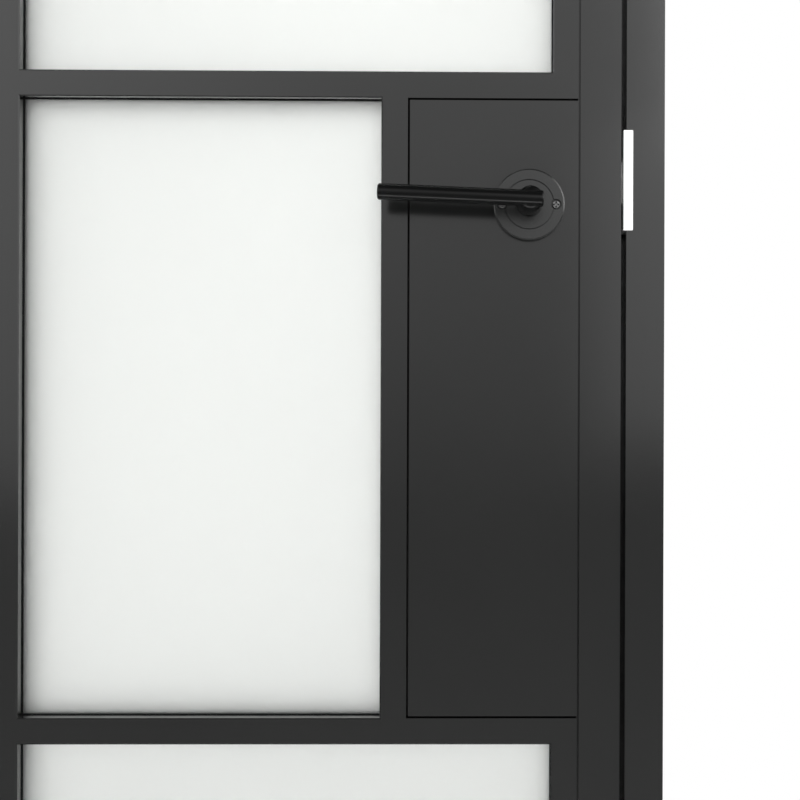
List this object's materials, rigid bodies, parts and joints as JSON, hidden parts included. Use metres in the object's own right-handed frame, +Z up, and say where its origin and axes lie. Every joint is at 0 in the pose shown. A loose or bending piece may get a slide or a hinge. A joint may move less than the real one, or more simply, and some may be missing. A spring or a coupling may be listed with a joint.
{
  "type": "glazed door with its frame",
  "caption": "Flush black-framed door leaf with a grid of milky glass panes, a lock panel with a round rose and lever, hung on barrel hinges in its frame.",
  "frame": {"origin": "at floor level, midway across the opening and midway through the leaf's thickness", "axes": "+X towards the lock side seen from the pull side, +Y from the pull side to the push side, +Z up"},
  "size_m": [0.996, 0.141, 2.156],
  "materials": {
    "frame_black": "fine satin powder coat",
    "milky_glass": "milky, satin",
    "seal_rubber": "matt",
    "handle_black": "satin",
    "hinge_black": "satin",
    "screw_steel": "dark plated",
    "strike_steel": "bright satin",
    "zinc_steel": "zinc plated",
    "cleat_alloy": "mill finish",
    "core_board": "black-dyed board, sawn"
  },
  "bodies": {
    "frame": {"hinge_jamb": "frame_black", "lock_jamb": "frame_black", "head_jamb": "frame_black", "frame_corner_cleats": "cleat_alloy", "fixing_hole_caps": "frame_black", "hinge_jamb_seal": "seal_rubber", "lock_jamb_seal": "seal_rubber", "head_seal": "seal_rubber", "strike_plate": "strike_steel", "strike_box": "zinc_steel", "strike_screws": "screw_steel", "hinge_frame_plate_bottom": "hinge_black", "hinge_frame_plate_middle": "hinge_black", "hinge_frame_plate_top": "hinge_black", "hinge_pin_bottom": "hinge_black", "hinge_pin_middle": "hinge_black", "hinge_pin_top": "hinge_black", "hinge_frame_screws": "hinge_black"},
    "leaf": {"back_gaskets": "seal_rubber", "back_grid": "frame_black", "back_lock_panel": "frame_black", "back_rose": "handle_black", "back_rose_disc": "handle_black", "bottom_rail": "frame_black", "faceplate_screws": "screw_steel", "front_gaskets": "seal_rubber", "front_grid": "frame_black", "front_lock_panel": "frame_black", "front_rose": "handle_black", "front_rose_disc": "handle_black", "glass_row1_left": "milky_glass", "glass_row1_right": "milky_glass", "glass_row2_left": "milky_glass", "glass_row2_right": "milky_glass", "glass_row3_left": "milky_glass", "glass_row3_right": "milky_glass", "glass_row4_left": "milky_glass", "glass_row4_right": "milky_glass", "hinge_leaf_plate_bottom": "hinge_black", "hinge_leaf_plate_middle": "hinge_black", "hinge_leaf_plate_top": "hinge_black", "hinge_leaf_screws": "hinge_black", "hinge_stile": "frame_black", "latch_spring": "zinc_steel", "lock_block": "core_board", "lock_case": "zinc_steel", "lock_case_cover": "zinc_steel", "lock_case_screws": "screw_steel", "lock_faceplate": "strike_steel", "lock_stile": "frame_black", "rail_end_cleats": "cleat_alloy", "rose_screws": "screw_steel", "rose_sleeve_nuts": "screw_steel", "top_rail": "frame_black"},
    "handle": {"front_lever": "handle_black", "back_lever": "handle_black", "spindle": "zinc_steel", "follower": "zinc_steel", "lever_grub_screws": "screw_steel"},
    "latch": {"latch_bolt": "strike_steel"}
  },
  "joints": [
    {"name": "leaf_swing", "type": "hinge", "parent": "frame", "child": "leaf", "pos_m": [-0.467, -0.028, 1.0655], "axis": [0, 0, -1], "range_deg": [0, 170]},
    {"name": "handle_turn", "type": "hinge", "parent": "leaf", "child": "handle", "pos_m": [0.395, 0, 1.0097], "axis": [0, -1, 0], "range_deg": [0, 40], "stiffness_Nm_per_rad": 1.2, "springref_deg": -45.84},
    {"name": "latch_slide", "type": "slide", "parent": "leaf", "child": "latch", "axis": [-1, 0, 0], "range_m": [0, 0.012], "stiffness_N_per_m": 300, "springref_m": -0.012, "deforming": ["latch_spring"]}
  ],
  "couplings": [
    {"joint": "latch_slide", "follows": "handle_turn", "m_per_rad": 0.01718}
  ]
}
